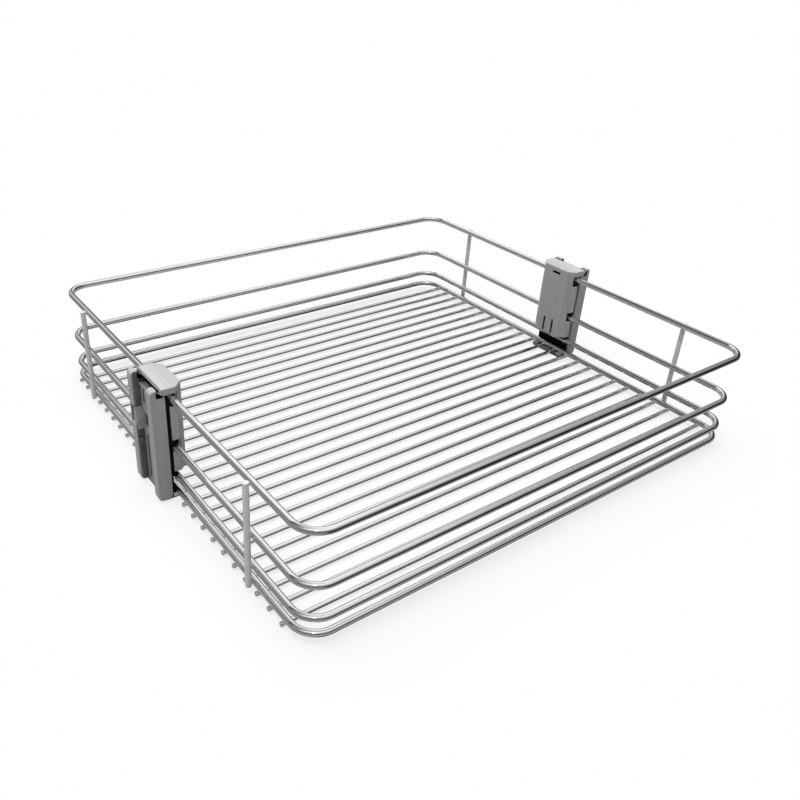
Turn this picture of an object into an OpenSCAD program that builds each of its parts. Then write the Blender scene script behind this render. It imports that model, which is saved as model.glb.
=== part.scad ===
// Wire pull-out cabinet basket with two clip-on side brackets.
// Millimetres. +Y is the pull-out direction, +X runs across the cabinet, +Z is up.
// The origin is the middle of the basket's footprint, on the plane that the brackets' feet stand on.

/* [Basket] */
// Width across the wire rings, wire centre to wire centre
basket_w = 465; // [380:5:640]
// Depth along the pull-out direction, wire centre to wire centre
basket_d = 500; // [320:5:640]
// Bend radius of the ring corners, at the wire centre
corner_r = 21.5; // [12:0.5:40]
// Height of the rim ring above the base ring, centre to centre
rim_height = 92.5; // [88:0.5:140]
// Height of the middle ring above the base ring
middle_height = 45; // [38:0.5:60]
// Height of the lower ring above the base ring
lower_height = 14.8; // [10:0.1:15]

/* [Wires] */
// Diameter of the four ring wires
ring_wire_d = 6; // [5:0.1:7]
// Diameter of the upright wires
upright_wire_d = 5; // [4:0.1:6]
// Diameter of the floor wires
floor_wire_d = 4; // [3:0.1:5]
// Depth that two welded wires melt into each other
weld_bite = 0.2; // [0.05:0.05:0.3]
// Number of floor wires
floor_wire_count = 24; // [16:1:30]
// Distance from the side of the base ring to the outermost floor wires, before the shift
floor_edge = 24.3; // [24:0.1:40]
// Sideways shift of the whole row of floor wires
floor_shift = -3.5; // [-5:0.5:5]
// How far the floor wires reach past the outside of the base ring
floor_overhang = 1.6; // [0.2:0.1:1.8]
// Which gap between floor wires, counted from the side, holds an upright wire
upright_bay = 3; // [2:1:5]
// Height of an upright's cut top above the centre of the rim wire
upright_rise = 1.6; // [0.5:0.1:6]
// Depth of an upright's foot below the centre of the base ring
upright_drop = 4; // [1:0.5:7]
// Chamfer on an upright's foot
upright_chamfer = 1; // [0.3:0.1:1.5]

/* [Bracket channel] */
// Width of a bracket along the wires
bracket_w = 48; // [42:1:70]
// Thickness of each flange of the channel
flange_t = 9; // [8:0.5:10]
// Distance the flanges stand out from the ring wires
flange_reach = 15.5; // [15:0.5:24]
// Air between the ring wires and the inner edge of the flanges
flange_gap = 2.5; // [1.9:0.1:3]
// Depth of the channel, from the flange edges in to the web
channel_depth = 6.5; // [5:0.5:7.5]
// Thickness of the web of the channel
web_t = 5.5; // [3:0.5:6]
// Height of the flange tops above the rim ring centre
flange_rise = 10.5; // [8:0.5:12]
// Height of the flange bottoms above the underside of the foot plate
flange_lift = 1.6; // [0:0.1:2]
// Height of the web's top edge above the rim ring centre
web_rise = 0; // [-4:0.5:0.5]
// Corner radius of the flanges at the top
flange_top_r = 3.5; // [2:0.5:6]
// Corner radius of the flanges at the bottom
flange_bottom_r = 4.5; // [2:0.5:8]
// Width of the upright slots in the web
web_slot_w = 3; // [2:0.5:4]
// Spacing of the upright slots in the web
web_slot_pitch = 7; // [6:0.5:9]
// Width of the two slots that run along the flanges
corner_slot_w = 2; // [1.5:0.1:2.5]
// Distance of the lower slots' tops below the catch's shoulder
slot_drop = 3.5; // [2:0.5:6]
// Height of the catch window's lower edge above the catch's shoulder
window_gap = 4; // [3:0.5:6]
// Height of the catch window in the web
window_h = 14; // [10:0.5:16]
// Height of the bar between the catch window and the upper slots
window_bar = 10; // [4:0.5:10]
// Height of the bar above the upper slots
web_top_bar = 3; // [2:0.5:5]
// Thickness of the foot plate that runs under the floor wires
foot_plate_t = 1.2; // [1.2:0.1:2.3]
// How far the foot plate reaches in past the ring wires
foot_reach = 2; // [1:0.5:8]
// Inset of the foot plate from the sides of the bracket
foot_inset = 2; // [1:0.5:4]
// Sideways offset of each bracket from the middle of its side, towards +X at the front and -X at the rear
bracket_shift = 2.5; // [-5:0.1:5]

/* [Bracket cover] */
// Wall thickness of the cover
cover_wall = 2; // [1.5:0.1:2.4]
// Distance the cover stands in from the ring wires
cover_depth = 8.5; // [6.5:0.5:12]
// How far the cover's side walls reach out past the ring wire centres
cover_reach = 2; // [0.5:0.1:2.5]
// Inset of the cover's lip from the outside of the web
lip_inset = 2.4; // [2:0.1:5]
// Air between the cover's lip and the flanges
lip_gap = 2.7; // [1:0.1:3]
// Size of the cover's sloping corners
cover_chamfer = 7.5; // [3:0.5:9]
// Height of the cover's top above the rim ring centre
cover_rise = 10.1; // [10:0.1:14]
// Height of the cover's open bottom above the base ring centre
cover_bottom = 20; // [19.5:0.5:24]
// Height of the notches that the rim and middle wires pass through
notch_h = 11.5; // [8:0.5:13]
// How far the notches reach in past the wires
notch_reach = 3; // [1:0.5:5]
// Height of the rim notch's top above its wire
rim_notch_rise = 1.3; // [0.5:0.1:2]
// Height of the middle notch's top above its wire
middle_notch_rise = 4; // [2:0.5:5]
// Width of the spring tab cut in the cover's face
tab_w = 12; // [6:0.5:16]
// Height of the two slits beside the spring tab
tab_slit_h = 18; // [8:0.5:18]
// Width of those slits
tab_slit_w = 2.6; // [1:0.1:3.5]
// Sideways offset of the spring tab
tab_offset = -0.8; // [-4:0.2:4]
// Height of the slits' lower end above the cover's bottom edge
tab_slit_rise = 1; // [0.5:0.1:3]
// Width of the small release slot near the cover's top
release_slot_w = 11; // [6:0.5:20]
// Height of the release slot
release_slot_h = 3; // [1.5:0.1:3]
// Distance from the underside of the cover's top plate down to the release slot
release_slot_drop = 3; // [2:0.5:6]

/* [Catch] */
// Height of the catch's hinge pin above the base ring centre
catch_pivot_height = 40; // [36:0.5:40]
// Distance of the hinge pin from the inner face of its flange
catch_pivot_inset = 3.3; // [3.1:0.1:3.5]
// Diameter of the catch's hinge pin
catch_pin_d = 2.4; // [2:0.1:3]
// Height of the catch's top above its pin
catch_h = 29; // [28:0.5:32]
// Height of the square shoulder under the catch's nose above its pin
catch_shoulder_h = 8; // [6:0.5:11]
// Height of the nose's straight face
catch_nose_h = 10; // [10:0.5:14]
// Distance the nose reaches into the channel
catch_nose = 3; // [2:0.1:3.5]
// Swing of the catch as it is pushed back, in degrees
catch_swing = 8; // [4:0.5:8]
// Wall of the catch's hub around the hinge pin
catch_hub_wall = 1.7; // [1.5:0.1:1.9]
// Thickness of the flange's skin in front of the catch's hub
ear_t = 1.4; // [1.2:0.1:2]
// Height of that skin's top edge above the catch's shoulder
ear_rise = 5; // [0.5:0.1:7]
// Thickness of the flange's wall behind the catch's pocket
pocket_skin = 2; // [1:0.1:2]
// Depth of solid web behind the catch's pocket
pocket_floor = 2.6; // [2:0.1:3]

/* [Clearances] */
// Clearance between a ring wire and the bracket core's saddle, per side
saddle_gap = 0.15; // [0.1:0.05:0.3]
// Clearance between pieces of a bracket that are clipped together
clip_gap = 0.3; // [0.2:0.05:0.4]
// Clearance of the catch in its pocket, front and back
pocket_gap = 0.3; // [0.2:0.05:0.4]
// Radial clearance of the catch on its pin
pin_running_gap = 0.05; // [0.02:0.01:0.1]
// Radial clearance of the pin in the channel's holes
pin_seat_gap = 0.02; // [0.01:0.01:0.04]

/* [Hidden] */
function two(i) = str(i < 10 ? "0" : "", i);
function wire_name(i) = str("floor_wire_", two(i));
WIRE_NAMES = [for (i = [1:floor_wire_count]) wire_name(i)];
FRAME_NAMES = ["rim_ring", "middle_ring", "lower_ring", "base_ring",
    "front_left_upright", "front_right_upright", "rear_left_upright", "rear_right_upright"];
FRONT_NAMES = ["front_bracket_channel", "front_bracket_core", "front_bracket_cover", "front_catch",
    "front_catch_pin"];
REAR_NAMES = ["rear_bracket_channel", "rear_bracket_core", "rear_bracket_cover", "rear_catch",
    "rear_catch_pin"];
$fn = 48;

rr = ring_wire_d / 2;
fr = floor_wire_d / 2;
ur = upright_wire_d / 2;
z_base = rr + 2 * fr - weld_bite + saddle_gap + foot_plate_t;
z_lower = z_base + lower_height;
z_middle = z_base + middle_height;
z_rim = z_base + rim_height;
y_wall = basket_d / 2;
floor_pitch = (basket_w - 2 * floor_edge) / (floor_wire_count - 1);
function wire_x(i) = floor_shift - basket_w / 2 + floor_edge + (i - 1) * floor_pitch;
floor_z = z_base - rr - fr + weld_bite;
floor_reach = y_wall + rr + floor_overhang;
left_upright_x = wire_x(upright_bay) + floor_pitch / 2;
right_upright_x = wire_x(floor_wire_count - upright_bay) + floor_pitch / 2;
upright_y = y_wall + rr + ur - weld_bite;
upright_foot = z_base - upright_drop;
upright_top = z_rim + upright_rise;

// In a bracket, "out" is the distance from the ring wire centres away from the basket.
half_w = bracket_w / 2;
inner_half = half_w - flange_t;
out_flange_in = rr + flange_gap;
out_flange = rr + flange_reach;
out_web = out_flange - channel_depth;
out_web_in = out_web - web_t;
out_core = out_web_in - clip_gap / 3;
out_cover = -(rr + cover_depth);
out_cover_edge = cover_reach;
out_plate_edge = out_web - lip_inset;
out_step = out_plate_edge + lip_gap;
out_foot = -rr - foot_reach;
z_plate_top = floor_z - fr - saddle_gap;
z_plate = z_plate_top - foot_plate_t;
z_flange_low = z_plate + flange_lift;
z_flange_top = z_rim + flange_rise;
z_web_top = z_rim + web_rise;
z_step = z_rim + rr + rim_notch_rise - clip_gap;
z_cover_top = z_rim + cover_rise;
z_cover_bottom = z_base + cover_bottom;
z_release = z_cover_top - cover_wall - release_slot_drop;
z_core_top = z_rim - rr / 3;
z_core_bottom = z_base - 0.6 * rr;
z_rim_notch = z_rim + rr + rim_notch_rise - notch_h;
z_middle_notch = z_middle + rr + middle_notch_rise - notch_h;
saddle_half = rr + saddle_gap;

pivot_x = -(inner_half + catch_pivot_inset);
z_pivot = z_base + catch_pivot_height;
pin_r = catch_pin_d / 2;
hub_r = pin_r + catch_hub_wall;
z_pocket_low = z_pivot - hub_r - 2 * pocket_gap;
z_pocket_high = z_pivot + catch_h + 6 * pocket_gap;
z_shoulder = z_pivot + catch_shoulder_h;
z_ear_top = z_shoulder + ear_rise;
pocket_back = half_w - pocket_skin;
out_pocket = out_web_in + pocket_floor;
out_ear = out_flange - ear_t;
z_slot_top = z_shoulder - slot_drop;
z_window_low = z_shoulder + window_gap;
z_window_high = z_window_low + window_h;
out_pin = out_flange_in + web_t / 3.2;
pin_length = out_flange - out_pin - pin_seat_gap;

module quarter_bend(zc) {
    rotate_extrude(angle = 90) translate([corner_r, 0]) circle(r = rr);
}

// One closed ring: four straight runs and four quarter bends of the same wire.
module wire_ring(zc) {
    hx = basket_w / 2 - corner_r;
    hy = basket_d / 2 - corner_r;
    translate([0, 0, zc]) {
        for (s = [-1, 1]) {
            translate([s * basket_w / 2, 0, 0]) rotate([90, 0, 0])
                cylinder(h = 2 * hy, r = rr, center = true);
            translate([0, s * basket_d / 2, 0]) rotate([0, 90, 0])
                cylinder(h = 2 * hx, r = rr, center = true);
        }
        translate([hx, hy, 0]) quarter_bend(zc);
        translate([-hx, hy, 0]) rotate([0, 0, 90]) quarter_bend(zc);
        translate([-hx, -hy, 0]) rotate([0, 0, 180]) quarter_bend(zc);
        translate([hx, -hy, 0]) rotate([0, 0, 270]) quarter_bend(zc);
    }
}

module rim_ring() { color("silver") wire_ring(z_rim); }
module middle_ring() { color("silver") wire_ring(z_middle); }
module lower_ring() { color("silver") wire_ring(z_lower); }
module base_ring() { color("silver") wire_ring(z_base); }

// Upright wire: welded outside all four rings, cut flat at the top, chamfered at the foot.
module upright(x, y) {
    color("silver") translate([x, y, upright_foot]) {
        cylinder(h = upright_chamfer, r1 = ur - upright_chamfer, r2 = ur);
        translate([0, 0, upright_chamfer]) cylinder(h = upright_top - upright_foot - upright_chamfer,
            r = ur);
    }
}

module front_left_upright() { upright(left_upright_x, -upright_y); }
module front_right_upright() { upright(right_upright_x, -upright_y); }
module rear_left_upright() { upright(left_upright_x, upright_y); }
module rear_right_upright() { upright(right_upright_x, upright_y); }

module floor_wire(i) {
    color("silver") translate([wire_x(i), 0, floor_z]) rotate([90, 0, 0])
        cylinder(h = 2 * floor_reach, r = fr, center = true);
}

// Places a bracket piece: drawn at the front run of the rings, with "out" along -Y.
// Its own x = 0 is the middle of the bracket.
module at_side(rear) {
    rotate([0, 0, rear ? 180 : 0]) translate([bracket_shift, -y_wall, 0]) children();
}

// Box given by its limits along X, "out" and Z.
module box(x0, x1, o0, o1, z0, z1) {
    translate([x0, -o1, z0]) cube([x1 - x0, o1 - o0, z1 - z0]);
}

// Extrudes an (out, z) outline along X from x0 to x1.
module along_x(x0, x1) {
    translate([x1, 0, 0]) rotate([90, 0, -90]) linear_extrude(x1 - x0) children();
}

// Extrudes an (x, z) outline from out = o0 to out = o1.
module along_out(o0, o1) {
    translate([0, -o0, 0]) rotate([90, 0, 0]) linear_extrude(o1 - o0) children();
}

module corner_cut(r) {
    difference() {
        translate([0, 0]) square(r + 1);
        circle(r = r);
    }
}

// Side view of a flange: stepped top that clears the cover, rounded outer corners.
module flange_outline() {
    difference() {
        union() {
            translate([out_flange_in, z_flange_low])
                square([out_flange - out_flange_in, z_step - z_flange_low]);
            translate([out_step, z_step - 1])
                square([out_flange - out_step, z_flange_top - z_step + 1]);
        }
        translate([out_flange - flange_top_r, z_flange_top - flange_top_r]) corner_cut(flange_top_r);
        translate([out_flange - flange_bottom_r, z_flange_low + flange_bottom_r]) mirror([0, 1])
            corner_cut(flange_bottom_r);
    }
}

// Teeth between the floor wires; the wires lie in the gaps.
module foot_teeth(rear) {
    difference() {
        box(-half_w + foot_inset, half_w - foot_inset, out_foot, out_flange_in + 1,
            z_plate_top - 0.5, z_base - rr - saddle_gap);
        for (i = [1:floor_wire_count]) {
            x = (rear ? -wire_x(i) : wire_x(i)) - bracket_shift;
            if (abs(x) < half_w + 3 * fr)
                box(x - fr - clip_gap, x + fr + clip_gap, out_foot - 1, floor_overhang + rr + clip_gap,
                    z_plate_top, z_base);
        }
    }
}

// A lower and an upper slot through the web, from x0 to x1.
module web_slots(x0, x1) {
    box(x0, x1, out_web_in - 1, out_web + 1, z_core_bottom, z_slot_top);
    box(x0, x1, out_web_in - 1, out_web + 1, z_window_high + window_bar, z_web_top - web_top_bar);
}

// Outer channel: two flanges, a slotted web, the catch pocket and the hooked foot.
module bracket_channel(rear) {
    color("dimgray") at_side(rear) difference() {
        union() {
            along_x(-half_w, -inner_half) flange_outline();
            along_x(inner_half, half_w) flange_outline();
            box(-inner_half - 1, inner_half + 1, out_web_in, out_web, z_plate, z_web_top);
            box(-half_w + foot_inset, half_w - foot_inset, out_foot, out_web, z_plate,
                z_plate_top);
            foot_teeth(rear);
        }
        for (x = [-web_slot_pitch, 0, web_slot_pitch])
            web_slots(x - web_slot_w / 2, x + web_slot_w / 2);
        web_slots(-inner_half, -inner_half + corner_slot_w);
        web_slots(inner_half - corner_slot_w, inner_half);
        box(-inner_half + 3, inner_half - 3, out_web_in - 1, out_web + 1, z_window_low,
            z_window_high);
        box(-pocket_back, -inner_half + 0.5, out_pocket, out_ear, z_pocket_low, z_ear_top + 0.5);
        box(-pocket_back, -inner_half + 0.5, out_pocket, out_flange + 1, z_ear_top, z_pocket_high);
        box(-inner_half, -inner_half + catch_nose + 2 * pocket_gap, out_pocket, out_web + 1,
            z_shoulder - 3 * pocket_gap, z_pocket_high);
        translate([pivot_x, -out_pin + 2 * pin_seat_gap, z_pivot]) rotate([90, 0, 0])
            cylinder(h = out_flange - out_pin + 1, r = pin_r + pin_seat_gap);
    }
}

// Plan of the cover's inside half, inset by t on every wall.
module cover_plan(t, out_edge) {
    w = half_w - t;
    c = cover_chamfer - 0.586 * t;
    o = out_cover + t;
    polygon([[-w, -out_edge], [-w, -o - c], [-w + c, -o], [w - c, -o], [w, -o - c], [w, -out_edge]]);
}

// Black core between cover and channel: saddles for the rim and middle wires.
module bracket_core(rear) {
    inset = cover_wall + clip_gap;
    color("black") at_side(rear) difference() {
        union() {
            translate([0, 0, z_cover_bottom + 0.5]) linear_extrude(z_core_top - z_cover_bottom - 0.5)
                cover_plan(inset, rr + saddle_gap);
            box(-half_w + inset, half_w - inset, rr + saddle_gap, out_flange_in - saddle_gap,
                z_core_bottom, z_core_top);
            box(-inner_half + clip_gap, inner_half - clip_gap, rr + saddle_gap, out_core,
                z_core_bottom, z_core_top);
        }
        box(-half_w, half_w, out_cover - 1, saddle_half, z_rim - saddle_half, z_rim + saddle_half);
        box(-half_w, half_w, out_cover - 1, saddle_half, z_middle - saddle_half,
            z_middle + saddle_half);
    }
}

// Inner cover: a thin shell with a top plate, wire notches, spring tab and release slot.
module bracket_cover(rear) {
    color("gray") at_side(rear) difference() {
        union() {
            translate([0, 0, z_cover_bottom]) linear_extrude(z_cover_top - z_cover_bottom)
                cover_plan(0, out_cover_edge);
            box(-half_w, half_w, out_cover_edge - 1, out_plate_edge, z_rim_notch, z_cover_top);
        }
        translate([0, 0, z_cover_bottom - 1])
            linear_extrude(z_cover_top - cover_wall - z_cover_bottom + 1)
                cover_plan(cover_wall, out_plate_edge + 1);
        for (s = [-1, 1])
            translate([s > 0 ? half_w - cover_wall - 1 : -half_w - 1, 0, 0]) {
                box(0, cover_wall + 2, -rr - notch_reach, out_plate_edge + 1, z_rim_notch - 1,
                    z_rim_notch + notch_h);
                box(0, cover_wall + 2, -rr - notch_reach, out_cover_edge + 1, z_middle_notch,
                    z_middle_notch + notch_h);
            }
        box(tab_offset - release_slot_w / 2, tab_offset + release_slot_w / 2, out_cover - 1,
            out_cover + cover_wall + 1, z_release - release_slot_h, z_release);
        for (s = [-1, 1])
            box(tab_offset + s * tab_w / 2 - tab_slit_w / 2, tab_offset + s * tab_w / 2 + tab_slit_w / 2,
                out_cover - 1, out_cover + cover_wall + 1, z_cover_bottom + tab_slit_rise,
                z_cover_bottom + tab_slit_rise + tab_slit_h);
    }
}

// Side view of the catch: hub on the pin, arm up the pocket, nose into the channel.
module catch_outline() {
    face = -inner_half - 0.4;
    nose = -inner_half + catch_nose;
    low = z_shoulder;
    top = z_pivot + catch_h;
    translate([pivot_x, z_pivot]) circle(r = hub_r);
    polygon([[pivot_x - hub_r + 0.8, z_pivot], [face, z_pivot], [face, low], [nose, low],
        [nose, low + catch_nose_h], [face, top], [pivot_x + 1.4, top],
        [pivot_x + 0.3, low + catch_nose_h], [pivot_x - 0.4, low + 6]]);
}

module catch_lever(rear) {
    z_wide = z_ear_top + 0.7;
    color("slategray") at_side(rear) difference() {
        union() {
            along_out(out_pocket + pocket_gap, out_ear - pocket_gap) catch_outline();
            intersection() {
                along_out(out_pocket + pocket_gap, out_flange - pocket_gap) catch_outline();
                box(-half_w, half_w, out_pocket, out_flange, z_wide, z_wide + catch_h);
            }
        }
        translate([pivot_x, -out_pocket, z_pivot]) rotate([90, 0, 0])
            cylinder(h = out_flange - out_pocket, r = pin_r + pin_running_gap);
    }
}

module catch_pin(rear) {
    color("lightsteelblue") at_side(rear) translate([pivot_x, -out_pin, z_pivot])
        rotate([90, 0, 0]) cylinder(h = pin_length, r = pin_r);
}

rim_ring();
middle_ring();
lower_ring();
base_ring();
front_left_upright();
front_right_upright();
rear_left_upright();
rear_right_upright();
for (i = [1:floor_wire_count]) floor_wire(i);
bracket_channel(false);  // front_bracket_channel
bracket_core(false);  // front_bracket_core
bracket_cover(false);  // front_bracket_cover
catch_lever(false);  // front_catch
catch_pin(false);  // front_catch_pin
bracket_channel(true);  // rear_bracket_channel
bracket_core(true);  // rear_bracket_core
bracket_cover(true);  // rear_bracket_cover
catch_lever(true);  // rear_catch
catch_pin(true);  // rear_catch_pin
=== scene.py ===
import math
import bpy
import bmesh
from mathutils import Matrix, Vector


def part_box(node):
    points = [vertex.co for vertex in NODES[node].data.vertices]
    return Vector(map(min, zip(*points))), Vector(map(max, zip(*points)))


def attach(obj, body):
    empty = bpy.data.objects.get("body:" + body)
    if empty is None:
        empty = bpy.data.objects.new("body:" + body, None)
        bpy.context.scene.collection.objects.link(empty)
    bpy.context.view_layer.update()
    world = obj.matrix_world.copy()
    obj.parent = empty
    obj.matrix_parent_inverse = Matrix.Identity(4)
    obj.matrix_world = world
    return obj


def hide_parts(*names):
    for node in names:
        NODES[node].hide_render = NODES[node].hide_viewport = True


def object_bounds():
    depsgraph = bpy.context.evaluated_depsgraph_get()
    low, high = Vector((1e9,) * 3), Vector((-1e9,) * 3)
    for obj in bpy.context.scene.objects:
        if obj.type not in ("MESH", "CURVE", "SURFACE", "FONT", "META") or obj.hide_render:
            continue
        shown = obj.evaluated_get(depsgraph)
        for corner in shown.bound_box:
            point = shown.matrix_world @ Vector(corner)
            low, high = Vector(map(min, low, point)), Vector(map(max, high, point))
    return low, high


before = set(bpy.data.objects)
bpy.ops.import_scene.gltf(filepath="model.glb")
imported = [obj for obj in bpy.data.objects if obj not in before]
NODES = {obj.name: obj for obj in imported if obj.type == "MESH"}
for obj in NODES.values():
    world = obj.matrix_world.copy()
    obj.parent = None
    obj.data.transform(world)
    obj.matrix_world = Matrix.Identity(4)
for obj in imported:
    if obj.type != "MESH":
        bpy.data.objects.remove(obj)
CAD_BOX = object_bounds()
SCENE = bpy.context.scene
MM = 0.001
UP = Vector((0, 0, 1))
TURN = 2 * math.pi
QUARTER = math.pi / 2


# ---------------------------------------------------------------- shader nodes
NOISE_ROUGHNESS = 0.55
NOISE_LOW, NOISE_HIGH = 0.3, 0.7    # the range that most of a noise lies in


def new_material(name):
    m = bpy.data.materials.new(name)
    m.use_nodes = True
    nt = m.node_tree
    nt.nodes.clear()
    out = nt.nodes.new("ShaderNodeOutputMaterial")
    bsdf = nt.nodes.new("ShaderNodeBsdfPrincipled")
    nt.links.new(bsdf.outputs["BSDF"], out.inputs["Surface"])
    return m, nt, bsdf


def feed(nt, value, socket):
    """Puts a number on the socket itself, or links an output to it."""
    if isinstance(value, (int, float)):
        socket.default_value = value
    else:
        nt.links.new(value, socket)


def object_position(nt):
    return nt.nodes.new("ShaderNodeTexCoord").outputs["Object"]


def axes(nt, coord):
    split = nt.nodes.new("ShaderNodeSeparateXYZ")
    nt.links.new(coord, split.inputs[0])
    return split.outputs["X"], split.outputs["Y"], split.outputs["Z"]


def noise(nt, coord, scale, detail=3.0):
    n = nt.nodes.new("ShaderNodeTexNoise")
    n.inputs["Scale"].default_value = scale
    n.inputs["Detail"].default_value = detail
    n.inputs["Roughness"].default_value = NOISE_ROUGHNESS
    nt.links.new(coord, n.inputs["Vector"])
    return n.outputs["Fac"]


def ramp(nt, fac, stops):
    r = nt.nodes.new("ShaderNodeValToRGB")
    els = r.color_ramp.elements
    while len(els) > 1:
        els.remove(els[-1])
    els[0].position, els[0].color = stops[0]
    for pos, col in stops[1:]:
        els.new(pos).color = col
    nt.links.new(fac, r.inputs["Fac"])
    return r.outputs["Color"]


def grey(v):
    return (v, v, v, 1.0)


def value_ramp(nt, fac, stops):
    return ramp(nt, fac, [(pos, grey(v)) for pos, v in stops])


def remap(nt, fac, lo, hi, out_lo, out_hi):
    """Takes lo to out_lo and hi to out_hi, and stays at those beyond them."""
    r = nt.nodes.new("ShaderNodeMapRange")
    r.inputs["From Min"].default_value = lo
    r.inputs["From Max"].default_value = hi
    r.inputs["To Min"].default_value = out_lo
    r.inputs["To Max"].default_value = out_hi
    nt.links.new(fac, r.inputs["Value"])
    return r.outputs["Result"]


def spread(nt, fac, out_lo, out_hi):
    """Spreads a noise over a range of values."""
    return remap(nt, fac, NOISE_LOW, NOISE_HIGH, out_lo, out_hi)


def bump(nt, height, strength, distance):
    b = nt.nodes.new("ShaderNodeBump")
    b.inputs["Strength"].default_value = strength
    b.inputs["Distance"].default_value = distance
    nt.links.new(height, b.inputs["Height"])
    return b.outputs["Normal"]


def maths(nt, op, a, b=0.0):
    n = nt.nodes.new("ShaderNodeMath")
    n.operation = op
    feed(nt, a, n.inputs[0])
    feed(nt, b, n.inputs[1])
    return n.outputs[0]


def product(nt, first, *rest):
    for factor in rest:
        first = maths(nt, "MULTIPLY", first, factor)
    return first


def mix_value(nt, fac, a, b):
    return maths(nt, "ADD", product(nt, a, maths(nt, "SUBTRACT", 1.0, fac)), product(nt, b, fac))


def tint(nt, fac, colour, towards):
    """Takes a colour towards a fixed one."""
    n = nt.nodes.new("ShaderNodeMixRGB")
    nt.links.new(fac, n.inputs["Fac"])
    nt.links.new(colour, n.inputs["Color1"])
    n.inputs["Color2"].default_value = (*towards, 1)
    return n.outputs["Color"]


def mix_shader(nt, fac, a, b):
    n = nt.nodes.new("ShaderNodeMixShader")
    nt.links.new(fac, n.inputs["Fac"])
    nt.links.new(a, n.inputs[1])
    nt.links.new(b, n.inputs[2])
    return n.outputs[0]


def glow(nt, kind, strength):
    """A white Emission or Background node."""
    n = nt.nodes.new("ShaderNode" + kind)
    n.inputs["Color"].default_value = grey(1.0)
    feed(nt, strength, n.inputs["Strength"])
    return n.outputs[0]


def dot(nt, coord, direction):
    n = nt.nodes.new("ShaderNodeVectorMath")
    n.operation = "DOT_PRODUCT"
    n.inputs[1].default_value = direction
    nt.links.new(coord, n.inputs[0])
    return n.outputs["Value"]


# ---------------------------------------------------------------- materials
PLATING_BUMP = 0.04 * MM
PLASTIC_BUMP = 0.08 * MM
WORN_GAIN, WORN_LIFT = 1.35, 0.01   # rubbed edges against the moulding's own colour
# painted shade: the colour that recesses are darkened towards
DEEP_SHADE = 0.16                   # recesses against the moulding's own colour
BRACKET_X = 2.5 * MM                # both brackets stand this far off the middle of their side
WIRES_Y = 250.0 * MM                # the ring wires' centres on the bracket sides


def chrome_material(name, low, high):
    """Bright plating with a light haze in it and finer marks."""
    m, nt, b = new_material(name)
    obj = object_position(nt)
    haze = noise(nt, obj, 38.0, 4.0)
    marks = noise(nt, obj, 900.0, 2.0)
    tones = [(0.25, (low, low + 0.004, low + 0.012, 1)), (0.75, (high, high + 0.003, high + 0.010, 1))]
    nt.links.new(ramp(nt, haze, tones), b.inputs["Base Color"])
    b.inputs["Metallic"].default_value = 1.0
    nt.links.new(spread(nt, haze, 0.02, 0.055), b.inputs["Roughness"])
    nt.links.new(bump(nt, marks, 0.04, PLATING_BUMP), b.inputs["Normal"])
    return m


def satin_wire_material():
    """The upright wires: the same plating over brushed wire, duller and greyer."""
    m, nt, b = new_material("satin_plated_wire")
    obj = object_position(nt)
    stretch = nt.nodes.new("ShaderNodeMapping")
    stretch.inputs["Scale"].default_value = (1, 1, 0.06)
    nt.links.new(obj, stretch.inputs["Vector"])
    brushed = noise(nt, stretch.outputs["Vector"], 1400.0)
    cloud = noise(nt, obj, 60.0)
    tones = [(NOISE_LOW, (0.78, 0.785, 0.795, 1)), (NOISE_HIGH, (0.88, 0.885, 0.895, 1))]
    nt.links.new(ramp(nt, cloud, tones), b.inputs["Base Color"])
    b.inputs["Metallic"].default_value = 0.2
    nt.links.new(spread(nt, brushed, 0.24, 0.42), b.inputs["Roughness"])
    nt.links.new(bump(nt, brushed, 0.12, PLATING_BUMP), b.inputs["Normal"])
    return m


def pin_material():
    m, nt, b = new_material("drawn_steel_pin")
    drawn = noise(nt, object_position(nt), 700.0)
    nt.links.new(value_ramp(nt, drawn, [(NOISE_LOW, 0.42), (NOISE_HIGH, 0.6)]), b.inputs["Base Color"])
    b.inputs["Metallic"].default_value = 1.0
    nt.links.new(spread(nt, drawn, 0.22, 0.4), b.inputs["Roughness"])
    return m


def plastic_material(name, base, dark, shade=None, rough=(0.36, 0.50), grain=0.25, gloss=0.5):
    """Moulded plastic: a cloudy colour, a fine grain, edges rubbed a little lighter and, where a shade function
    is given, painted shade.
    """
    m, nt, b = new_material(name)
    obj = object_position(nt)
    cloud = noise(nt, obj, 55.0, 5.0)
    flow = noise(nt, obj, 9.0, 2.0)
    pits = noise(nt, obj, 2600.0, 2.0)
    edge = nt.nodes.new("ShaderNodeNewGeometry").outputs["Pointiness"]
    colour = ramp(nt, cloud, [(0.2, (*dark, 1)), (0.8, (*base, 1))])
    worn = [min(1.0, c * WORN_GAIN + WORN_LIFT) for c in base]
    colour = tint(nt, remap(nt, edge, 0.50, 0.58, 0.0, 0.5), colour, worn)
    # painted shade: the shade function darkens the colour towards DEEP_SHADE of the base
    if shade:
        colour = tint(nt, shade(nt, obj), colour, [c * DEEP_SHADE for c in base])
    nt.links.new(colour, b.inputs["Base Color"])
    b.inputs["Specular IOR Level"].default_value = gloss
    b.inputs["IOR"].default_value = 1.5
    nt.links.new(spread(nt, flow, *rough), b.inputs["Roughness"])
    nt.links.new(bump(nt, pits, grain, PLASTIC_BUMP), b.inputs["Normal"])
    return m


def bracket_axes(nt, obj):
    """Distance from the bracket's own middle, distance from the basket's, and height."""
    x, y, z = axes(nt, obj)
    turned = product(nt, x, maths(nt, "SIGN", y))
    across = maths(nt, "ABSOLUTE", maths(nt, "ADD", turned, BRACKET_X))
    return across, maths(nt, "ABSOLUTE", y), z


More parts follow.
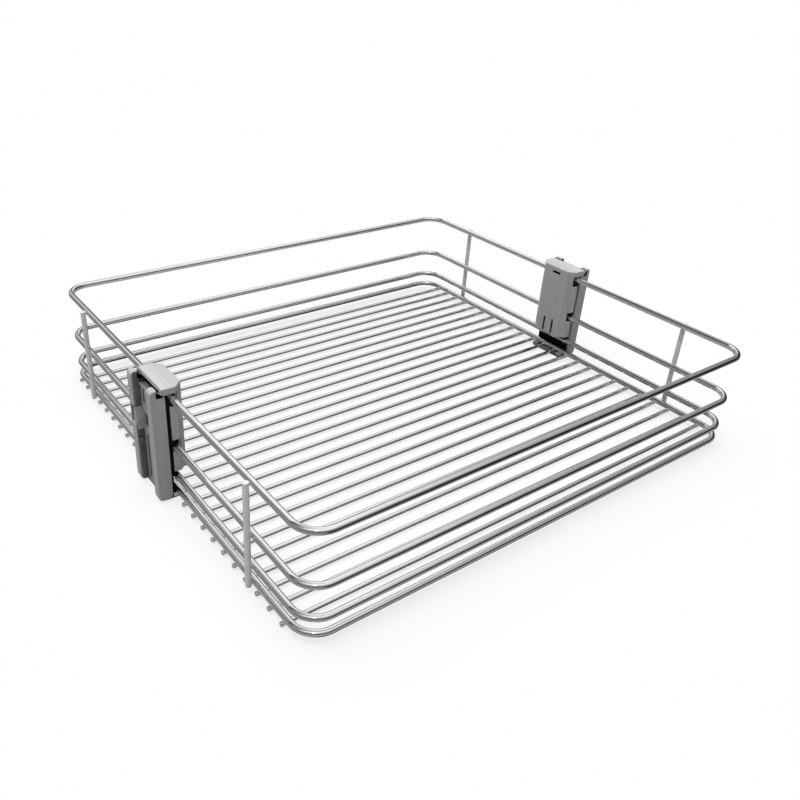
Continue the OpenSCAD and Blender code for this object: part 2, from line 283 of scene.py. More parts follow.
def channel_painted_shade(nt, obj):
    """Painted shade: the recess between the flanges and the hooked foot are darkened in the colour, with a
    blotchy strength.
    """
    across, away, z = bracket_axes(nt, obj)
    out = maths(nt, "SUBTRACT", away, WIRES_Y)
    between = remap(nt, across, 15.6 * MM, 15.1 * MM, 0.0, 1.0)
    flanks = remap(nt, across, 11.0 * MM, 14.6 * MM, 0.30, 0.80)
    mouth = product(nt, remap(nt, out, 18.8 * MM, 15.8 * MM, 0.0, 1.0), flanks)
    slots = remap(nt, out, 11.9 * MM, 11.2 * MM, 0.0, 0.50)
    recess = product(nt, between, maths(nt, "ADD", mouth, slots))
    foot = product(nt, remap(nt, z, 6 * MM, 4 * MM, 0.0, 0.7), remap(nt, out, 8 * MM, 6 * MM, 0.0, 1.0))
    # painted shade: its strength varies in blotches
    shade_blotch = remap(nt, noise(nt, obj, 240.0, 4.0), 0.35, 0.65, 0.8, 1.1)
    return product(nt, maths(nt, "MAXIMUM", recess, foot), shade_blotch)


def cover_painted_shade(nt, obj):
    """Painted deep shade: behind the cover's face, inside its slots, the plastic's colour is darkened."""
    across, away, z = bracket_axes(nt, obj)
    behind = remap(nt, away, 238.7 * MM, 239.1 * MM, 0.0, 1.0)
    middle = remap(nt, across, 14.0 * MM, 13.5 * MM, 0.0, 1.0)
    below = remap(nt, z, 108.5 * MM, 108.0 * MM, 0.0, 1.1)
    return product(nt, behind, middle, below)


def catch_painted_shade(nt, obj):
    """Painted shade: the arm below the catch's shoulder is darkened in the colour, as it lies in the shade of
    its pocket.
    """
    z = axes(nt, obj)[2]
    return remap(nt, z, 56.2 * MM, 55.6 * MM, 0.0, 0.68)


CHROME = chrome_material("chrome_plated_wire", 0.90, 0.965)
CHROME_THIN = chrome_material("thin_plated_wire", 0.92, 0.97)
SATIN = satin_wire_material()
GREY = plastic_material("grey_moulded_plastic", (0.44, 0.44, 0.445), (0.40, 0.40, 0.405), cover_painted_shade)
CATCH = plastic_material("catch_moulded_plastic", (0.42, 0.42, 0.425), (0.30, 0.30, 0.305), catch_painted_shade)
CHANNEL = plastic_material("channel_moulded_plastic", (0.42, 0.42, 0.425), (0.38, 0.38, 0.385), channel_painted_shade)
BLACK = plastic_material("black_moulded_plastic", (0.006, 0.006, 0.007), (0.003, 0.003, 0.004),
                         rough=(0.55, 0.7), grain=0.3, gloss=0.1)
PIN = pin_material()


# ---------------------------------------------------------------- mesh helpers
RING_SIDES, ROD_SIDES, THIN_SIDES = 36, 28, 24   # facets round a wire
BEND_STEPS, RUN_STEPS = 16, 10                   # points along a ring's bends and straight runs
END_STEPS = 5                                    # steps in a rod's rounded end
BEAD_SIDES, BEAD_STEPS = 14, 8
CORNERS = ((1, 1), (-1, 1), (-1, -1), (1, -1))


def make_object(name, bm, material, body, node=None):
    me = bpy.data.meshes.new(name)
    bm.normal_update()
    bm.to_mesh(me)
    bm.free()
    me.materials.append(material)
    for p in me.polygons:
        p.use_smooth = True
    o = bpy.data.objects.new(name, me)
    SCENE.collection.objects.link(o)
    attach(o, body)
    if node:
        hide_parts(node)
    return o


def middle_of(lo, hi):
    return (lo + hi) / 2


def bridge(bm, lo, hi):
    """Faces between two rings of points. A ring of one point closes an end."""
    n = max(len(lo), len(hi))
    for k in range(n):
        j = (k + 1) % n
        if len(lo) == 1:
            bm.faces.new((lo[0], hi[j], hi[k]))
        elif len(hi) == 1:
            bm.faces.new((lo[k], lo[j], hi[0]))
        else:
            bm.faces.new((lo[k], lo[j], hi[j], hi[k]))


def sweep(bm, pts, tangents, radii, up, sides, closed=False):
    """Rings of points round a path, joined into a tube. Radii of 0 close an end."""
    rings = []
    for p, t, r in zip(pts, tangents, radii):
        t = t.normalized()
        a = up.cross(t).normalized()
        c = t.cross(a).normalized()
        if r <= 0:
            rings.append([bm.verts.new(p)])
            continue
        angles = [k * TURN / sides for k in range(sides)]
        rings.append([bm.verts.new(p + a * (r * math.cos(g)) + c * (r * math.sin(g))) for g in angles])
    following = rings[1:] + rings[:1] if closed else rings[1:]
    for lo, hi in zip(rings, following):
        bridge(bm, lo, hi)


def rod(bm, a, b, radius, end_a, end_b, sides=ROD_SIDES, cuts=10):
    """A straight rod from a to b. Each end is rounded over the given length."""
    axis = b - a
    length = axis.length
    t = axis.normalized()
    up = UP if abs(t.z) < 0.9 else Vector((0, 1, 0))
    angles = [i / END_STEPS * QUARTER for i in range(1, END_STEPS + 1)]
    run = length - end_a - end_b
    stations = [(0.0, 0.0)]
    stations += [(end_a * (1 - math.cos(g)), radius - end_a + end_a * math.sin(g)) for g in angles]
    stations += [(end_a + run * i / cuts, radius) for i in range(1, cuts)]
    stations += [(length - end_b * (1 - math.cos(g)), radius - end_b + end_b * math.sin(g))
                 for g in reversed(angles)]
    stations.append((length, 0.0))
    sweep(bm, [a + t * s for s, _ in stations], [t] * len(stations), [r for _, r in stations], up, sides)


def ring_path(hx, hy, r, z):
    """Points and tangents round a rectangle with round corners, at the wire's centre."""
    pts, tans = [], []
    cx, cy = hx - r, hy - r
    for k, (sx, sy) in enumerate(CORNERS):
        centre = Vector((sx * cx, sy * cy, z))
        start = k * QUARTER
        for i in range(BEND_STEPS + 1):
            ang = start + i / BEND_STEPS * QUARTER
            pts.append(centre + Vector((math.cos(ang), math.sin(ang), 0)) * r)
            tans.append(Vector((-math.sin(ang), math.cos(ang), 0)))
        nx, ny = CORNERS[(k + 1) % 4]
        end = start + QUARTER
        a = pts[-1].copy()
        b = Vector((nx * cx, ny * cy, z)) + Vector((math.cos(end), math.sin(end), 0)) * r
        for i in range(1, RUN_STEPS):
            pts.append(a.lerp(b, i / RUN_STEPS))
            tans.append((b - a).normalized())
    return pts, tans


def bead(bm, centre, rx, ry, rz):
    """A resistance weld: a low bead of metal squeezed out where two wires cross."""
    rings = []
    for i in range(BEAD_STEPS + 1):
        th = math.pi * i / BEAD_STEPS
        if i in (0, BEAD_STEPS):
            rings.append([bm.verts.new(centre + Vector((0, 0, rz * math.cos(th))))])
            continue
        rings.append([bm.verts.new(centre + Vector((rx * math.sin(th) * math.cos(TURN * j / BEAD_SIDES),
                                                    ry * math.sin(th) * math.sin(TURN * j / BEAD_SIDES),
                                                    rz * math.cos(th)))) for j in range(BEAD_SIDES)])
    for upper, lower in zip(rings, rings[1:]):
        bridge(bm, lower, upper)


# ---------------------------------------------------------------- wires
CORNER = 21.5 * MM
UPRIGHT_FOOT, UPRIGHT_TOP, FLOOR_END = 1.5 * MM, 0.35 * MM, 0.5 * MM   # rounded ends
FLOOR_CUTS = 14
CROSS_BEAD = (1.5 * MM, 1.9 * MM, 0.75 * MM)     # under the base ring, on each floor wire
UPRIGHT_BEAD = (1.8 * MM, 0.8 * MM, 1.7 * MM)    # between a ring and an upright

lo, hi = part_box("base_ring")
RING_R = (hi - lo).z / 2
HX, HY = (hi - lo).x / 2 - RING_R, (hi - lo).y / 2 - RING_R
RING_Z = {}
for name in ("rim_ring", "middle_ring", "lower_ring", "base_ring"):
    RING_Z[name] = middle_of(*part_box(name)).z
    pts, tans = ring_path(HX, HY, CORNER, RING_Z[name])
    bm = bmesh.new()
    sweep(bm, pts, tans, [RING_R] * len(pts), UP, RING_SIDES, closed=True)
    make_object("wire_" + name, bm, CHROME, "basket", name)

UPRIGHTS = []
for name in ("front_left_upright", "front_right_upright", "rear_left_upright", "rear_right_upright"):
    lo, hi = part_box(name)
    c = middle_of(lo, hi)
    UPRIGHTS.append(c)
    bm = bmesh.new()
    rod(bm, Vector((c.x, c.y, lo.z)), Vector((c.x, c.y, hi.z)), (hi.x - lo.x) / 2, UPRIGHT_FOOT, UPRIGHT_TOP)
    make_object("wire_" + name, bm, SATIN, "basket", name)

FLOOR_WIRES = []
for name in sorted(n for n in NODES if n.startswith("floor_wire_")):
    lo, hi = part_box(name)
    c = middle_of(lo, hi)
    FLOOR_WIRES.append(c)
    bm = bmesh.new()
    rod(bm, Vector((c.x, lo.y, c.z)), Vector((c.x, hi.y, c.z)), (hi.z - lo.z) / 2, FLOOR_END, FLOOR_END,
        THIN_SIDES, FLOOR_CUTS)
    make_object("wire_" + name, bm, CHROME_THIN, "basket", name)

bm = bmesh.new()
for c in FLOOR_WIRES:
    for s in (-1, 1):
        bead(bm, Vector((c.x, s * HY, RING_Z["base_ring"] - RING_R + 0.1 * MM)), *CROSS_BEAD)
for c in UPRIGHTS:
    for z in RING_Z.values():
        bead(bm, Vector((c.x, math.copysign(HY + RING_R, c.y), z)), *UPRIGHT_BEAD)
make_object("weld_beads", bm, CHROME, "basket")


# ---------------------------------------------------------------- moulding helpers
WELD_DIST = 0.001 * MM
FLAT_ANGLE, SHARP_ANGLE = math.radians(0.5), math.radians(38)


def corner_arcs(pts, radii, seg):
    """A polygon with its corners rounded, each by its own radius, with seg steps to a quarter turn."""
    area = sum(a[0] * b[1] - b[0] * a[1] for a, b in zip(pts, pts[1:] + pts[:1]))
    if area < 0:
        pts, radii = pts[::-1], radii[::-1]
    out = []
    n = len(pts)
    for i, (p, r) in enumerate(zip(pts, radii)):
        p, a, b = Vector(p), Vector(pts[i - 1]), Vector(pts[(i + 1) % n])
        if r <= 0:
            out.append(p)
            continue
        u, w = (a - p).normalized(), (b - p).normalized()
        half = u.angle(w) / 2
        reach = r / math.tan(half)
        centre = p + (u + w).normalized() * (r / math.sin(half))
        s, e = p + u * reach - centre, p + w * reach - centre
        turn = math.atan2(s.x * e.y - s.y * e.x, s.dot(e))
        steps = max(2, round(seg * abs(turn) / QUARTER))
        for k in range(steps + 1):
            t = turn * k / steps
            out.append(centre + Vector((s.x * math.cos(t) - s.y * math.sin(t),
                                        s.x * math.sin(t) + s.y * math.cos(t))))
    return out


def circle(x, z, r, sides):
    return [Vector((x + r * math.cos(t * TURN / sides), z + r * math.sin(t * TURN / sides)))
            for t in range(sides)]


def prism(outline, lo, hi, to3, edge_lo=0.0, edge_hi=0.0, steps=3):
    """Extrudes an outline from lo to hi, with its rims rounded by edge_lo and edge_hi."""
    n = len(outline)
    shift = []
    for i in range(n):
        a, p, b = outline[i - 1], outline[i], outline[(i + 1) % n]
        n1 = Vector((p.y - a.y, a.x - p.x)).normalized()
        n2 = Vector((b.y - p.y, p.x - b.x)).normalized()
        shift.append((n1 + n2) / (1 + n1.dot(n2)))

    def rim(edge):
        """Steps round a rim: the distances in from the end and in from the outline."""
        if edge <= 0:
            return [(0.0, 0.0)]
        angles = [k / steps * QUARTER for k in range(steps + 1)]
        return [(edge * (1 - math.sin(g)), edge * (1 - math.cos(g))) for g in angles]

    stations = [(lo + along, inset) for along, inset in reversed(rim(edge_lo))]
    stations += [(hi - along, inset) for along, inset in rim(edge_hi)]
    bm = bmesh.new()
    rings = [[bm.verts.new(to3(*(p - s * inset), c)) for p, s in zip(outline, shift)] for c, inset in stations]
    bm.faces.new(rings[0][::-1])
    bm.faces.new(rings[-1])
    for lower, upper in zip(rings, rings[1:]):
        bridge(bm, lower, upper)
    bmesh.ops.recalc_face_normals(bm, faces=bm.faces)
    return bm


def combine(name, adds, cuts, material, body, node):
    """One moulding: the added solids joined, then the cuts taken away."""
    temps = []
    for bm in adds + cuts:
        me = bpy.data.meshes.new("part")
        bm.to_mesh(me)
        bm.free()
        o = bpy.data.objects.new("part", me)
        SCENE.collection.objects.link(o)
        temps.append(o)
    base = temps[0]
    for i, o in enumerate(temps[1:], 1):
        mod = base.modifiers.new("op", "BOOLEAN")
        mod.operation = "UNION" if i < len(adds) else "DIFFERENCE"
        mod.solver = "MANIFOLD"
        mod.object = o
    bpy.context.view_layer.update()
    me = bpy.data.meshes.new_from_object(base.evaluated_get(bpy.context.evaluated_depsgraph_get()))
    for o in temps:
        old = o.data
        bpy.data.objects.remove(o)
        bpy.data.meshes.remove(old)
    bm = bmesh.new()
    bm.from_mesh(me)
    bpy.data.meshes.remove(me)
    bmesh.ops.remove_doubles(bm, verts=bm.verts, dist=WELD_DIST)
    bmesh.ops.dissolve_limit(bm, angle_limit=FLAT_ANGLE, verts=bm.verts, edges=bm.edges)
    o = make_object(name, bm, material, body, node)
    o.data.set_sharp_from_angle(angle=SHARP_ANGLE)
    wn = o.modifiers.new("even_normals", "WEIGHTED_NORMAL")
    wn.keep_sharp = True
    wn.weight = 100


# ---------------------------------------------------------------- brackets
# Sizes in millimetres, on a bracket's own axes: x along the wires, "out" away from the basket
# from the ring wires' centres, z up from the base ring's centre.
WALL_Y = HY / MM
ZB = RING_Z["base_ring"] / MM
RIM = RING_Z["rim_ring"] / MM - ZB
MIDDLE = RING_Z["middle_ring"] / MM - ZB
lo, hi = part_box("front_bracket_channel")
SHIFT = (lo.x + hi.x) / 2 / MM
HALF_W = (hi.x - lo.x) / 2 / MM
OUT = -lo.y / MM - WALL_Y
TOP = hi.z / MM - ZB
PLATE = lo.z / MM - ZB
LAP = 1                                     # solids that join, and cutters, run this far past each other
CLAMP = 3.15                                # a ring wire's radius with its clearance
INNER = HALF_W - 9                          # half the width between the flanges
SIDE = HALF_W - 2                           # half the width of the foot, and the pocket's outer side
WEB, WEB_IN = OUT - 6.5, OUT - 12
POCKET, POCKET_SIDE = WEB_IN + 2.6, -INNER + 0.5
LIP = WEB - 2.4                             # the outer edge of the cover's top
CORE_LOW, CORE_TOP = -1.8, RIM - 1
# catch
PIVOT_X, PIVOT_Z = -(INNER + 3.3), 40.0
SHOULDER, KNEE, CATCH_TOP = PIVOT_Z + 8, PIVOT_Z + 18, PIVOT_Z + 29
CATCH_FACE, CATCH_NOSE = -INNER - 0.4, -INNER + 3
CATCH_IN, ARM_OUT = POCKET + 0.3, OUT - 1.7
HEAD_LOW, HEAD_IN, HEAD_OUT = SHOULDER + 5.75, POCKET + 1.2, OUT - 0.3
HUB_R, BORE_R, HOLE_R = 2.9, 1.25, 1.22
PIN_END, PIN_CUTS = 0.2 * MM, 3
# channel
FLANGE_IN, FLANGE_LOW = 5.5, PLATE + 1.6
STEP_OUT, STEP_Z = LIP + 2.7, RIM + 4       # the step in the flange's top edge, under the cover's lip
FLANGE_RIMS = (1.1, 0.8)                    # roundings of its outer and inner face
FOOT_IN, FOOT_OUT, FOOT_PLATE = -5, 6, 1.2
WIRE_ROOM = 2.3                             # a floor wire's radius with its clearance
LEAST_BLOCK = 1.2                           # narrower blocks of the foot are left out
SLOTS_X = ((-INNER, -INNER + 2), (-8.5, -5.5), (-1.5, 1.5), (5.5, 8.5), (INNER - 2, INNER))
SLOTS_Z = ((CORE_LOW, SHOULDER - 3.5), (SHOULDER + 28, RIM - 3))
WINDOW_X, WINDOW_Z = INNER - 3, (SHOULDER + 4, SHOULDER + 18)
POCKET_LOW, POCKET_STEP, POCKET_HIGH = PIVOT_Z - 3.5, SHOULDER + 5, CATCH_TOP + 1.8
POCKET_WALL = OUT - 1.4                     # below the step a wall closes the pocket
NOSE_X, NOSE_Z = -INNER + 3.6, SHOULDER - 0.9
HOLE_IN = 7.1
# cover and core
COVER, COVER_LOW, COVER_EDGE, COVER_WALL = 11.5, 20.0, 2.0, 2
COVER_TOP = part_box("front_bracket_cover")[1].z / MM - ZB
CHAMFER, CHAMFER_IN = 7.5, 0.586            # the plan's chamfer, and what it loses per mm of inset
LIP_LOW = RIM - 7.2
NOTCH_X, NOTCH_IN = HALF_W - 3, -6
RIM_NOTCH, MIDDLE_NOTCH = (RIM - 8.2, RIM + 4.3), (MIDDLE - 4.5, MIDDLE + 7)
FACE_X, FACE_OUT = -0.8, (-COVER - LAP, -COVER + 3)     # the cuts through the cover's face
SLOT_HALF, SLOT_Z = 5.5, (COVER_TOP - 8, COVER_TOP - 5)
TAB_HALF, SLIT_HALF, SLIT_Z = 6, 1.3, (COVER_LOW + 1, COVER_LOW + 19)
PARTING_OUT, PARTING_Z = (COVER_EDGE - 0.2, COVER_EDGE + 0.15), COVER_TOP - 0.22
CORE_IN, CORE_BACK, CORE_PLATE, CORE_GAP = 2.3, 3.0, 5.35, 0.3


def plan(inset, edge, r):
    """The cover's outline from above, up to a given outer edge, drawn in by an inset."""
    w, c, o = HALF_W - inset, CHAMFER - CHAMFER_IN * inset, -COVER + inset
    return corner_arcs([(-w, edge), (-w, o + c), (-w + c, o), (w - c, o), (w, o + c), (w, edge)],
                       [0.3, r, r, r, r, 0.3], 10)


class Bracket:
    """The mouldings of one bracket. The rear one is the front one turned half a turn."""

    def __init__(self, side, turn):
        self.side, self.turn = side, turn

    def place(self, x, out, z):
        return Vector((self.turn * (x + SHIFT), -self.turn * (WALL_Y + out), z + ZB)) * MM

    def along_x(self, out, z, x):
        return self.place(x, out, z)

    def along_out(self, x, z, out):
        return self.place(x, out, z)

    def box(self, x0, x1, o0, o1, z0, z1, r=0.0, edge=0.0):
        outline = corner_arcs([(x0, o0), (x1, o0), (x1, o1), (x0, o1)], [r] * 4, 4)
        return prism(outline, z0, z1, self.place, edge, edge)

    def foot_blocks(self):
        """The hooked foot's blocks, between the floor wires that cross it."""
        wires = sorted(x for x in (self.turn * c.x / MM - SHIFT for c in FLOOR_WIRES) if abs(x) < SIDE)
        starts = [-SIDE] + [x + WIRE_ROOM for x in wires]
        stops = [x - WIRE_ROOM for x in wires] + [SIDE]
        return [self.box(a, b, FOOT_IN, FOOT_OUT, PLATE + LAP, -CLAMP, 0.6, 0.3)
                for a, b in zip(starts, stops) if b - a > LEAST_BLOCK]

    def channel(self):
        """Two flanges, a slotted web, the hooked foot and the catch's pocket."""
        flange = corner_arcs([(FLANGE_IN, FLANGE_LOW), (OUT, FLANGE_LOW), (OUT, TOP), (STEP_OUT, TOP),
                              (STEP_OUT, STEP_Z), (FLANGE_IN, STEP_Z)], [1.2, 4.5, 3.5, 0.8, 0.6, 0.8], 10)
        adds = [prism(flange, -HALF_W, -INNER, self.along_x, *FLANGE_RIMS, 4),
                prism(flange, INNER, HALF_W, self.along_x, *FLANGE_RIMS[::-1], 4),
                self.box(-INNER - LAP, INNER + LAP, WEB_IN, WEB, PLATE, RIM, 0, 0.4),
                self.box(-SIDE, SIDE, FOOT_IN, WEB, PLATE, PLATE + FOOT_PLATE, 0.8, 0.25)]
        adds += self.foot_blocks()
        web = (WEB_IN - LAP, WEB + LAP)
        cuts = [self.box(*xs, *web, *zs) for xs in SLOTS_X for zs in SLOTS_Z]
        cuts += [self.box(-WINDOW_X, WINDOW_X, *web, *WINDOW_Z),
                 self.box(-SIDE, POCKET_SIDE, POCKET, POCKET_WALL, POCKET_LOW, POCKET_STEP + 0.5),
                 self.box(-SIDE, POCKET_SIDE, POCKET, OUT + LAP, POCKET_STEP, POCKET_HIGH),
                 self.box(-INNER, NOSE_X, POCKET, WEB + LAP, NOSE_Z, POCKET_HIGH),
                 prism(circle(PIVOT_X, PIVOT_Z, HOLE_R, 32), HOLE_IN, OUT + LAP, self.along_out)]
        combine(self.side + "_channel_moulding", adds, cuts, CHANNEL, "basket",
                self.side + "_bracket_channel")

    def cover(self):
        """A thin shell with a lip over the wires, wire notches, a slot, a tab and a parting line."""
        adds = [prism(plan(0, LIP, 1.0), LIP_LOW, COVER_TOP, self.place, 0, 0.9, 4),
                prism(plan(0, COVER_EDGE, 1.0), COVER_LOW, RIM, self.place, 0.4, 0)]
        cuts = [prism(plan(COVER_WALL, LIP + 2, 1.2), COVER_LOW - LAP, COVER_TOP - COVER_WALL, self.place)]
        for x0, x1 in ((-HALF_W - LAP, -NOTCH_X), (NOTCH_X, HALF_W + LAP)):
            cuts.append(self.box(x0, x1, NOTCH_IN, LIP + LAP, *RIM_NOTCH))
            cuts.append(self.box(x0, x1, NOTCH_IN, COVER_EDGE + LAP, *MIDDLE_NOTCH))
        cuts.append(self.box(FACE_X - SLOT_HALF, FACE_X + SLOT_HALF, *FACE_OUT, *SLOT_Z))
        for x in (FACE_X - TAB_HALF, FACE_X + TAB_HALF):
            cuts.append(self.box(x - SLIT_HALF, x + SLIT_HALF, *FACE_OUT, *SLIT_Z))
        cuts.append(self.box(-HALF_W - LAP, HALF_W + LAP, *PARTING_OUT, PARTING_Z, COVER_TOP + LAP))
        combine(self.side + "_cover_moulding", adds, cuts, GREY, "basket",
                self.side + "_bracket_cover")

    def core(self):
        """The black insert that the ring wires lie in."""
        wide, narrow = HALF_W - CORE_IN, INNER - CORE_GAP
        adds = [prism(plan(CORE_IN, CLAMP, 1.0), COVER_LOW + 0.5, CORE_TOP, self.place, 0.3, 0.3, 2),
                self.box(-wide, wide, CORE_BACK, CORE_PLATE, CORE_LOW, CORE_TOP, 0.4, 0.3),
                self.box(-narrow, narrow, CORE_BACK, WEB_IN - 0.1, CORE_LOW, CORE_TOP, 0.4, 0.3)]
        cuts = [self.box(-HALF_W, HALF_W, -COVER - LAP, CLAMP, z - CLAMP, z + CLAMP) for z in (RIM, MIDDLE)]
        combine(self.side + "_core_moulding", adds, cuts, BLACK, "basket",
                self.side + "_bracket_core")

    def catch(self):
        """A hub on the pin, an arm up the pocket and a head with a wedge nose."""
        wedge = [(CATCH_NOSE, KNEE), (CATCH_FACE, CATCH_TOP), (PIVOT_X + 1.4, CATCH_TOP), (PIVOT_X + 0.3, KNEE)]
        arm = corner_arcs([(PIVOT_X - 2.1, PIVOT_Z), (CATCH_FACE, PIVOT_Z), (CATCH_FACE, SHOULDER),
                           (CATCH_NOSE, SHOULDER)] + wedge + [(PIVOT_X - 0.4, SHOULDER + 6)],
                          [0, 0, 0, 0.6, 2.5, 0.8, 0.6, 2, 2], 8)
        head = corner_arcs([(PIVOT_X - 0.3, HEAD_LOW), (CATCH_NOSE, HEAD_LOW)] + wedge,
                           [0.3, 0, 2.5, 0.8, 0.6, 2], 8)
        hub = circle(PIVOT_X, PIVOT_Z, HUB_R, 24)
        adds = [prism(arm, CATCH_IN, ARM_OUT, self.along_out, 0.3, 0.3, 2),
                prism(hub, CATCH_IN, ARM_OUT, self.along_out, 0.3, 0.3, 2),
                prism(head, HEAD_IN, HEAD_OUT, self.along_out, 0, 0.6)]
        cuts = [prism(circle(PIVOT_X, PIVOT_Z, BORE_R, 24), POCKET, OUT, self.along_out)]
        combine(self.side + "_catch_moulding", adds, cuts, CATCH, self.side + "_catch",
                self.side + "_catch")

    def pin(self):
        lo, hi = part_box(self.side + "_catch_pin")
        c = middle_of(lo, hi)
        bm = bmesh.new()
        rod(bm, Vector((c.x, lo.y, c.z)), Vector((c.x, hi.y, c.z)), (hi.z - lo.z) / 2, PIN_END, PIN_END,
            THIN_SIDES, PIN_CUTS)
        make_object(self.side + "_pin", bm, PIN, "basket", self.side + "_catch_pin")


for bracket in (Bracket("front", 1), Bracket("rear", -1)):
    bracket.channel()
    bracket.cover()
    bracket.core()
    bracket.catch()
    bracket.pin()


# ---------------------------------------------------------------- camera
# Fitted to the photograph's rings and uprights. The place is in basket depths from the middle of
# the base ring, and the focal length and the centre are in the photograph's pixels.
PHOTO = 800
SENSOR = 36.0
FOCAL, CENTRE_X, CENTRE_Y = 806.574, 363.722, 390.533
BASKET_DEPTH = 0.5
CAMERA_AT = Vector((1.13045273, -0.93571366, 0.86832063))
CAMERA_FORWARD = Vector((-0.6862264, 0.52722467, -0.50112621))
CAMERA_RIGHT = Vector((0.58622685, 0.8087192, 0.04807645))

cam_data = bpy.data.cameras.new("camera")
cam = bpy.data.objects.new("camera", cam_data)
SCENE.collection.objects.link(cam)
forward, right = CAMERA_FORWARD.normalized(), CAMERA_RIGHT.normalized()
rot = Matrix((right, right.cross(forward).normalized(), -forward)).transposed()
loc = CAMERA_AT * BASKET_DEPTH + UP * RING_Z["base_ring"]
cam.matrix_world = Matrix.Translation(loc) @ rot.to_4x4()
cam_data.sensor_fit = "HORIZONTAL"
cam_data.sensor_width = SENSOR
cam_data.lens = FOCAL / PHOTO * SENSOR
cam_data.shift_x = (PHOTO / 2 - CENTRE_X) / PHOTO
cam_data.shift_y = (CENTRE_Y - PHOTO / 2) / PHOTO
cam_data.clip_start = 0.01
cam_data.clip_end = 200.0
SCENE.camera = cam


# ---------------------------------------------------------------- floor
FLOOR_HALF = 40.0
FLOOR_GAP = 0.2 * MM
SEEN_SHARE = 0.75        # plain white in the floor that the picture sees: the rest is lit and keeps the shadow


def floor_material():
    """A pale floor. The picture sees it nearly white with a soft shadow, and wires mirror it dimmer, as a
    painted glow that no lamp lights.
    """
    m, nt, b = new_material("pale_floor")
    b.inputs["Roughness"].default_value = 0.9
    b.inputs["Specular IOR Level"].default_value = 0.0
    path = nt.nodes.new("ShaderNodeLightPath")
    seen, mirrored, length = (path.outputs[n] for n in ("Is Camera Ray", "Is Glossy Ray", "Ray Length"))
    nt.links.new(value_ramp(nt, seen, [(0.0, 0.45), (1.0, 0.70)]), b.inputs["Base Color"])

    # What wires mirror is a painted reflection, an unlit glow: darker beyond the basket's right side and in
    # front of it. Inside its outline, dark for rays from the lower wires, and bright for the shortest, from
    # right under a floor wire.
    x, y, _ = axes(nt, object_position(nt))
    dim = mix_value(nt, remap(nt, x, 0.27, 0.36, 0.0, 1.0), 0.32, 0.035)
    dim = mix_value(nt, remap(nt, y, -0.25, -0.30, 0.0, 1.0), dim, 0.24)
    under = product(nt, remap(nt, x, 0.235, 0.245, 1.0, 0.0),
                    remap(nt, maths(nt, "ABSOLUTE", y), 0.235, 0.245, 1.0, 0.0))
    near = product(nt, under, remap(nt, length, 0.06, 0.10, 1.0, 0.0))
    close = product(nt, under, remap(nt, length, 0.002, 0.0045, 1.0, 0.0))
    dim = mix_value(nt, near, dim, 0.03)
    dim = mix_value(nt, close, dim, 0.9)
    lit = mix_shader(nt, mirrored, b.outputs[0], glow(nt, "Emission", dim))
    lit = mix_shader(nt, product(nt, seen, SEEN_SHARE), lit, glow(nt, "Emission", 1.0))
    nt.links.new(lit, nt.nodes["Material Output"].inputs["Surface"])
    return m


me = bpy.data.meshes.new("floor")
me.from_pydata([(sx * FLOOR_HALF, sy * FLOOR_HALF, CAD_BOX[0][2] - FLOOR_GAP)
                for sx, sy in ((-1, -1), (1, -1), (1, 1), (-1, 1))], [], [(0, 1, 2, 3)])
me.materials.append(floor_material())
floor = bpy.data.objects.new("floor", me)
SCENE.collection.objects.link(floor)


# ---------------------------------------------------------------- world, light
# The picture sees plain white and the object is lit evenly, but wires mirror a studio room: a
# softbox on the left, a wall that darkens downwards on the right and a darker one at the back.
SOFTBOX = (-0.618, 0.412, 0.669)
LAMP = (0.482, -0.392, 0.784)
AMBIENT = 0.12
ROOM_LEFT = [(0.0, 0.24), (0.3, 0.22), (0.6, 0.24), (0.71, 0.50), (0.83, 0.72), (0.9, 0.92), (0.95, 1.0)]
ROOM_RIGHT = [(0.0, 0.05), (0.10, 0.08), (0.30, 0.13), (0.45, 0.26), (0.62, 0.46), (0.74, 0.62),
              (0.83, 0.80), (0.88, 0.95)]
ROOM_BACK = [(0.0, 0.0), (0.22, 0.005), (0.32, 0.03), (0.42, 0.12), (0.50, 0.20), (0.58, 0.29),
             (0.70, 0.36), (0.80, 0.62), (0.88, 0.85)]


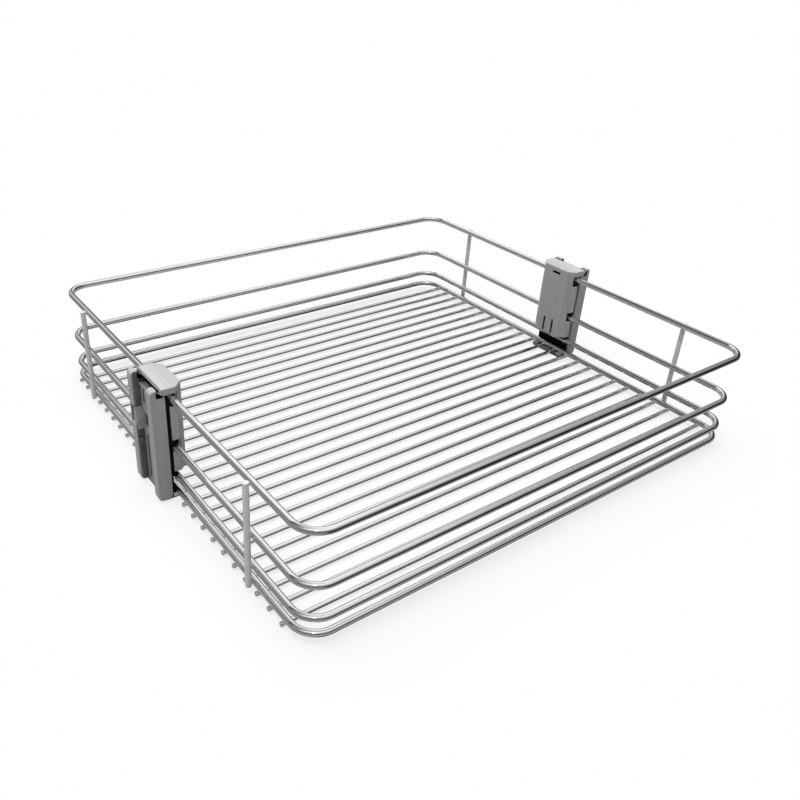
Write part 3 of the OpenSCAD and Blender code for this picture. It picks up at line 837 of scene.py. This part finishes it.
def room(nt, direction):
    """The room's brightness in a direction."""
    x, y, z = axes(nt, direction)
    left = value_ramp(nt, dot(nt, direction, SOFTBOX), ROOM_LEFT)
    right = value_ramp(nt, z, ROOM_RIGHT)
    back = value_ramp(nt, z, ROOM_BACK)
    to_left = remap(nt, x, 0.12, -0.18, 0.0, 1.0)
    to_back = product(nt, remap(nt, y, 0.44, 0.60, 0.0, 1.0), remap(nt, x, -0.3, -0.6, 1.0, 0.4))
    far_left = product(nt, remap(nt, x, -0.77, -0.84, 0.0, 1.0), remap(nt, y, 0.0, 0.15, 0.0, 1.0))
    overhead = product(nt, remap(nt, x, -0.60, -0.54, 0.0, 1.0), remap(nt, x, -0.44, -0.36, 1.0, 0.0),
                       remap(nt, y, 0.40, 0.20, 0.0, 1.0), remap(nt, z, 0.40, 0.55, 0.0, 1.0))
    light = mix_value(nt, to_back, mix_value(nt, to_left, right, left), back)
    light = mix_value(nt, far_left, light, 0.2)
    light = mix_value(nt, overhead, light, 0.10)
    # a small bare lamp above the front right corner
    lamp = remap(nt, dot(nt, direction, LAMP), 0.9955, 0.9980, 0.0, 5.0)
    return maths(nt, "ADD", light, lamp)


world = bpy.data.worlds.new("studio")
SCENE.world = world
world.use_nodes = True
nt = world.node_tree
nt.nodes.clear()
direction = nt.nodes.new("ShaderNodeTexCoord").outputs["Generated"]
path = nt.nodes.new("ShaderNodeLightPath")
surround = mix_shader(nt, path.outputs["Is Glossy Ray"], glow(nt, "Background", AMBIENT),
                      glow(nt, "Background", room(nt, direction)))
surround = mix_shader(nt, path.outputs["Is Camera Ray"], surround, glow(nt, "Background", 1.0))
nt.links.new(surround, nt.nodes.new("ShaderNodeOutputWorld").inputs["Surface"])

# one wide soft light from overhead, which the wires don't mirror
sun_data = bpy.data.lights.new("softbox", "SUN")
sun_data.energy = 1.3 * math.pi
sun_data.angle = math.radians(60)
sun = bpy.data.objects.new("softbox", sun_data)
sun.rotation_euler = (math.radians(8), math.radians(-4), 0)
sun.visible_glossy = False
SCENE.collection.objects.link(sun)


SCENE.view_settings.view_transform = "Standard"

bpy.context.view_layer.update()
